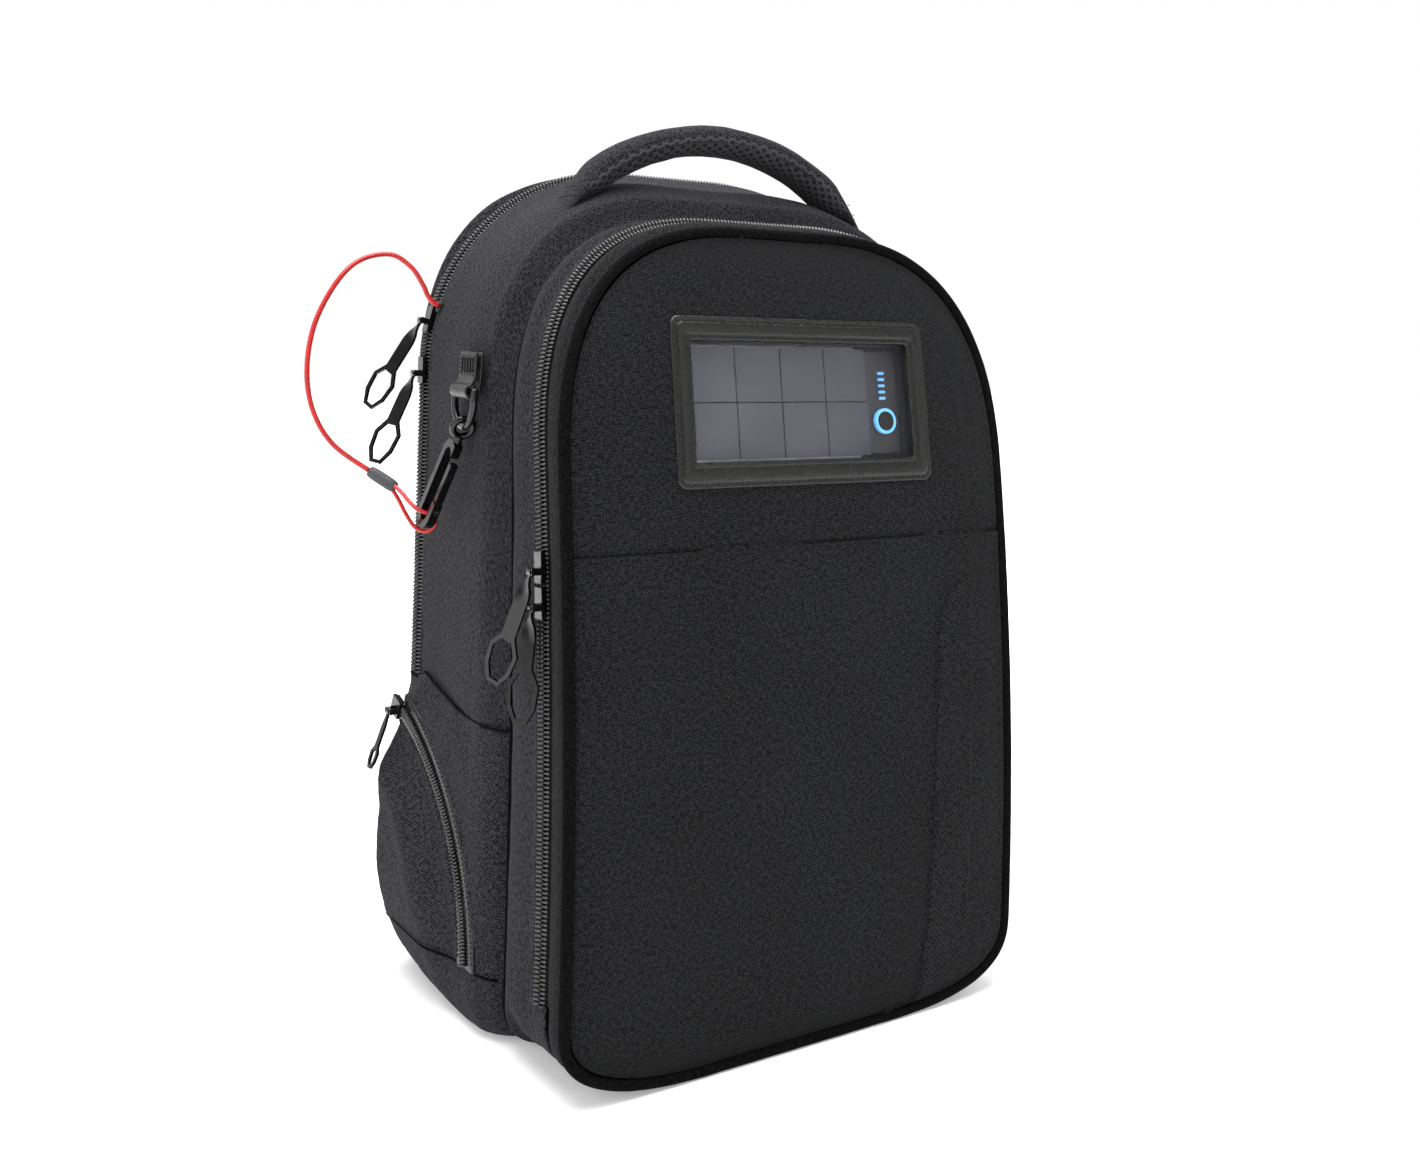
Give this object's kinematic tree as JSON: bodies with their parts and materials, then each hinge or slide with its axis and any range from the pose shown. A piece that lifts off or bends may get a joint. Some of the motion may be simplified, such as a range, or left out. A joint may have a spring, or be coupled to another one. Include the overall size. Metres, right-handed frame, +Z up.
{
  "type": "solar backpack",
  "caption": "Zipped two-compartment backpack with a solar power bank behind a clear window in the front panel, a carry handle and a lock cable.",
  "frame": {"origin": "on the floor, in the middle of the flat base of the main compartment", "axes": "+Z up; -Y towards the solar window in the front panel; +Y towards the shoulder straps; +X to the right when the front is seen"},
  "size_m": [0.4303, 0.2497, 0.5175],
  "materials": {
    "body_fabric": "charcoal woven polyester, slightly violet, matt",
    "panel_fabric": "dark charcoal woven polyester, matt",
    "lining": "dark lining cloth",
    "band_fabric": "black woven trim beside the zips",
    "mesh": "black air mesh over foam",
    "webbing": "black ribbed webbing",
    "piping": "glossy black artificial leather piping",
    "leather": "black grained artificial leather, double stitched",
    "zip_coil": "black coil",
    "buckle": "black moulded plastic",
    "film": "clear flexible window film",
    "bank_case": "black moulded case",
    "glass": "clear cover glass",
    "solar": "dark violet-grey solar cells",
    "battery": "silver pouch cells",
    "board": "green circuit board",
    "lights": "glowing light blue",
    "button": "black button",
    "socket": "plated socket shell",
    "slider_metal": "glossy black coated zip slider",
    "pull_metal": "satin black coated zip pull with bright worn edges",
    "ring_metal": "glossy black nickel",
    "hook_metal": "glossy black coated hook",
    "cable_red": "clear red jacket over steel cable",
    "ferrule": "dark grey sleeve"
  },
  "bodies": {
    "root": {"main_gusset": "body_fabric", "rear_band_lower": "band_fabric", "divider_panel": "lining", "front_gusset": "body_fabric", "front_band_lower": "band_fabric", "front_panel_lower": "panel_fabric", "front_piping_lower": "piping", "front_zip_body_side": "zip_coil", "rear_zip_body_side": "zip_coil", "back_panel_lower": "band_fabric", "lumbar_pad": "mesh", "laptop_sleeve": "lining", "organizer_pocket": "lining", "side_pockets": "body_fabric", "pocket_zips": "zip_coil", "handle_anchors": "body_fabric", "d_ring_tab": "leather", "strap_webbings": "webbing", "strap_anchors": "webbing", "cable_gland": "buckle", "lock_cable": "cable_red"},
    "front_panel": {"front_panel_upper": "panel_fabric", "front_band": "band_fabric", "front_piping_upper": "piping", "front_zip_panel_side": "zip_coil", "window_frame": "leather", "window_film": "film", "power_bank_front": "bank_case", "power_bank_back": "bank_case", "solar_glass": "glass", "solar_cells": "solar", "battery_cells": "battery", "circuit_board": "board", "status_lights": "lights", "usb_socket": "socket", "power_bank_sleeve": "lining"},
    "power_button": {"power_button": "button"},
    "back_panel": {"back_panel_upper": "band_fabric", "rear_band": "band_fabric", "rear_zip_panel_side": "zip_coil", "back_pads": "mesh", "shoulder_straps": "band_fabric", "ladder_locks": "buckle"},
    "d_ring": {"d_ring": "ring_metal", "cable_end": "ferrule"},
    "carabiner": {"carabiner": "hook_metal"},
    "carabiner_gate": {"carabiner_gate": "hook_metal"},
    "handle_grip": {"handle_grip": "body_fabric"},
    "front_slider_upper": {"front_slider_upper": "slider_metal"},
    "front_slider_lower": {"front_slider_lower": "slider_metal"},
    "rear_slider_upper": {"rear_slider_upper": "slider_metal"},
    "rear_slider_lower": {"rear_slider_lower": "slider_metal"},
    "pocket_slider_left": {"pocket_slider_left": "slider_metal"},
    "pocket_slider_right": {"pocket_slider_right": "slider_metal"},
    "front_pull_upper": {"front_pull_upper": "pull_metal"},
    "front_pull_lower": {"front_pull_lower": "pull_metal"},
    "rear_pull_upper": {"rear_pull_upper": "pull_metal"},
    "rear_pull_lower": {"rear_pull_lower": "pull_metal"},
    "pocket_pull_left": {"pocket_pull_left": "pull_metal"},
    "pocket_pull_right": {"pocket_pull_right": "pull_metal"}
  },
  "joints": [
    {"name": "front_panel_open", "type": "hinge", "parent": "root", "child": "front_panel", "pos_m": [0, -0.1032, 0.0445], "axis": [1, 0, 0], "range_deg": [0, 95]},
    {"name": "power_button_press", "type": "slide", "parent": "front_panel", "child": "power_button", "axis": [0, 0.9851, -0.1719], "range_m": [0, 0.0006], "stiffness_N_per_m": 600, "springref_m": -0.0004},
    {"name": "back_panel_open", "type": "hinge", "parent": "root", "child": "back_panel", "pos_m": [0, 0.1165, 0.177], "axis": [-1, 0, 0], "range_deg": [0, 40], "deforming": ["strap_webbings"]},
    {"name": "front_slider_upper_run", "type": "hinge", "parent": "root", "child": "front_slider_upper", "pos_m": [-0.146, 1.64014, 0.06], "axis": [-1, 0, 0], "range_deg": [0, 1.35]},
    {"name": "front_slider_lower_run", "type": "hinge", "parent": "root", "child": "front_slider_lower", "pos_m": [-0.146, 1.64014, 0.06], "axis": [1, 0, 0], "range_deg": [0, 5.89]},
    {"name": "rear_slider_upper_run", "type": "hinge", "parent": "root", "child": "rear_slider_upper", "pos_m": [-0.036, 0.088, 0.362], "axis": [0, 1, 0], "range_deg": [0, 65]},
    {"name": "rear_slider_lower_run", "type": "slide", "parent": "root", "child": "rear_slider_lower", "axis": [0, 0, -1], "range_m": [0, 0.155]},
    {"name": "front_pull_upper_swing", "type": "hinge", "parent": "front_slider_upper", "child": "front_pull_upper", "pos_m": [-0.1538, -0.06282, 0.26401], "axis": [0, 0.9928, -0.1201], "range_deg": [-3, 70]},
    {"name": "front_pull_lower_swing", "type": "hinge", "parent": "front_slider_lower", "child": "front_pull_lower", "pos_m": [-0.1538, -0.06488, 0.24601], "axis": [0, 0.994, -0.1096], "range_deg": [-3, 70]},
    {"name": "rear_pull_upper_swing", "type": "hinge", "parent": "rear_slider_upper", "child": "rear_pull_upper", "pos_m": [-0.1656, 0.088, 0.39106], "axis": [0, 1, 0], "range_deg": [-15, 55]},
    {"name": "rear_pull_lower_swing", "type": "hinge", "parent": "rear_slider_lower", "child": "rear_pull_lower", "pos_m": [-0.1688, 0.088, 0.359], "axis": [0, 1, 0], "range_deg": [-15, 45]},
    {"name": "pocket_slider_left_run", "type": "hinge", "parent": "root", "child": "pocket_slider_left", "pos_m": [-0.17981, 0.13366, 0.032], "axis": [0.9903, 0.1392, 0], "range_deg": [0, 64]},
    {"name": "pocket_pull_left_swing", "type": "hinge", "parent": "pocket_slider_left", "child": "pocket_pull_left", "pos_m": [-0.18033, 0.08138, 0.15795], "axis": [-0.1392, 0.9903, 0], "range_deg": [-8, 55]},
    {"name": "pocket_slider_right_run", "type": "hinge", "parent": "root", "child": "pocket_slider_right", "pos_m": [0.17981, 0.13366, 0.032], "axis": [0.9903, -0.1392, 0], "range_deg": [0, 64]},
    {"name": "pocket_pull_right_swing", "type": "hinge", "parent": "pocket_slider_right", "child": "pocket_pull_right", "pos_m": [0.18033, 0.08138, 0.15795], "axis": [-0.1392, -0.9903, 0], "range_deg": [-8, 55]},
    {"name": "d_ring_swing", "type": "hinge", "parent": "root", "child": "d_ring", "pos_m": [-0.1665, 0.008, 0.353], "axis": [0, 1, 0], "range_deg": [0, 45], "deforming": ["lock_cable"]},
    {"name": "carabiner_twist", "type": "hinge", "parent": "d_ring", "child": "carabiner", "pos_m": [-0.1665, 0.008, 0.333], "axis": [0.1792, -0.4384, 0.8808], "range_deg": [0, 18]},
    {"name": "carabiner_gate_open", "type": "hinge", "parent": "carabiner", "child": "carabiner_gate", "pos_m": [-0.17575, 0.02319, 0.28624], "axis": [-0.9824, -0.0314, 0.1843], "range_deg": [0, 16], "stiffness_Nm_per_rad": 0.03, "springref_deg": -17.19},
    {"name": "handle_flop", "type": "hinge", "parent": "root", "child": "handle_grip", "pos_m": [0, 0.024, 0.472], "axis": [1, 0, 0], "range_deg": [-28, 28], "deforming": ["handle_anchors"]}
  ]
}
